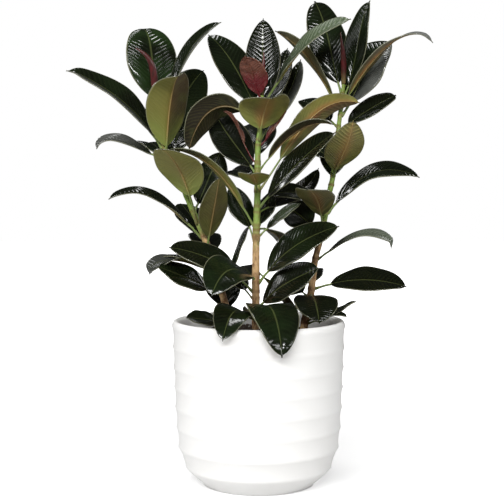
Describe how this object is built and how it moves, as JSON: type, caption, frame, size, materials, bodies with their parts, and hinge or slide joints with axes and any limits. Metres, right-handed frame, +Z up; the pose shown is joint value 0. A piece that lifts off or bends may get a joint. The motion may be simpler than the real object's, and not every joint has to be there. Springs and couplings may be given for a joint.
{
  "type": "potted rubber plant",
  "caption": "Rubber plant with leafy stems, large dark glossy oval leaves and red leaf sheaths, in a round white pot with soft bands, filled with soil.",
  "frame": {"origin": "middle of the pot's foot, on the surface it stands on", "axes": "+Z up along the pot's axis, -Y towards the front of the picture, +X to the right"},
  "size_m": [0.5558, 0.3035, 0.7574],
  "materials": {
    "pot": "satin white glaze",
    "soil": "matt crumbly potting soil",
    "stem": "smooth tan bark, green near the tip",
    "leaf": "glossy dark green above, satin olive below",
    "sheath": "glossy crimson"
  },
  "bodies": {
    "root": {"leaf_left_01": "leaf", "leaf_left_02": "leaf", "leaf_left_03": "leaf", "leaf_left_04": "leaf", "leaf_left_05": "leaf", "leaf_left_06": "leaf", "leaf_left_07": "leaf", "leaf_left_08": "leaf", "leaf_left_09": "leaf", "leaf_left_10": "leaf", "leaf_left_11": "leaf", "leaf_left_12": "leaf", "leaf_left_13": "leaf", "leaf_left_14": "leaf", "leaf_left_15": "leaf", "leaf_left_16": "leaf", "leaf_middle_01": "leaf", "leaf_middle_02": "leaf", "leaf_middle_03": "leaf", "leaf_middle_04": "leaf", "leaf_middle_05": "leaf", "leaf_middle_06": "leaf", "leaf_middle_07": "leaf", "leaf_middle_08": "leaf", "leaf_middle_09": "leaf", "leaf_middle_10": "leaf", "leaf_middle_11": "leaf", "leaf_middle_12": "leaf", "leaf_middle_13": "leaf", "leaf_middle_14": "leaf", "leaf_middle_15": "leaf", "leaf_middle_16": "leaf", "leaf_middle_17": "leaf", "leaf_middle_18": "leaf", "leaf_middle_19": "leaf", "leaf_middle_20": "leaf", "leaf_middle_21": "leaf", "leaf_right_01": "leaf", "leaf_right_02": "leaf", "leaf_right_03": "leaf", "leaf_right_04": "leaf", "leaf_right_05": "leaf", "leaf_right_06": "leaf", "leaf_right_07": "leaf", "leaf_right_08": "leaf", "leaf_right_09": "leaf", "leaf_right_10": "leaf", "leaf_right_11": "leaf", "leaf_right_12": "leaf", "leaf_right_13": "leaf", "leaf_right_14": "leaf", "leaf_right_15": "leaf", "pot": "pot", "sheath_left": "sheath", "sheath_middle": "sheath", "sheath_right": "sheath", "soil": "soil", "stem_left": "stem", "stem_middle": "stem", "stem_right": "stem"}
  },
  "joints": []
}
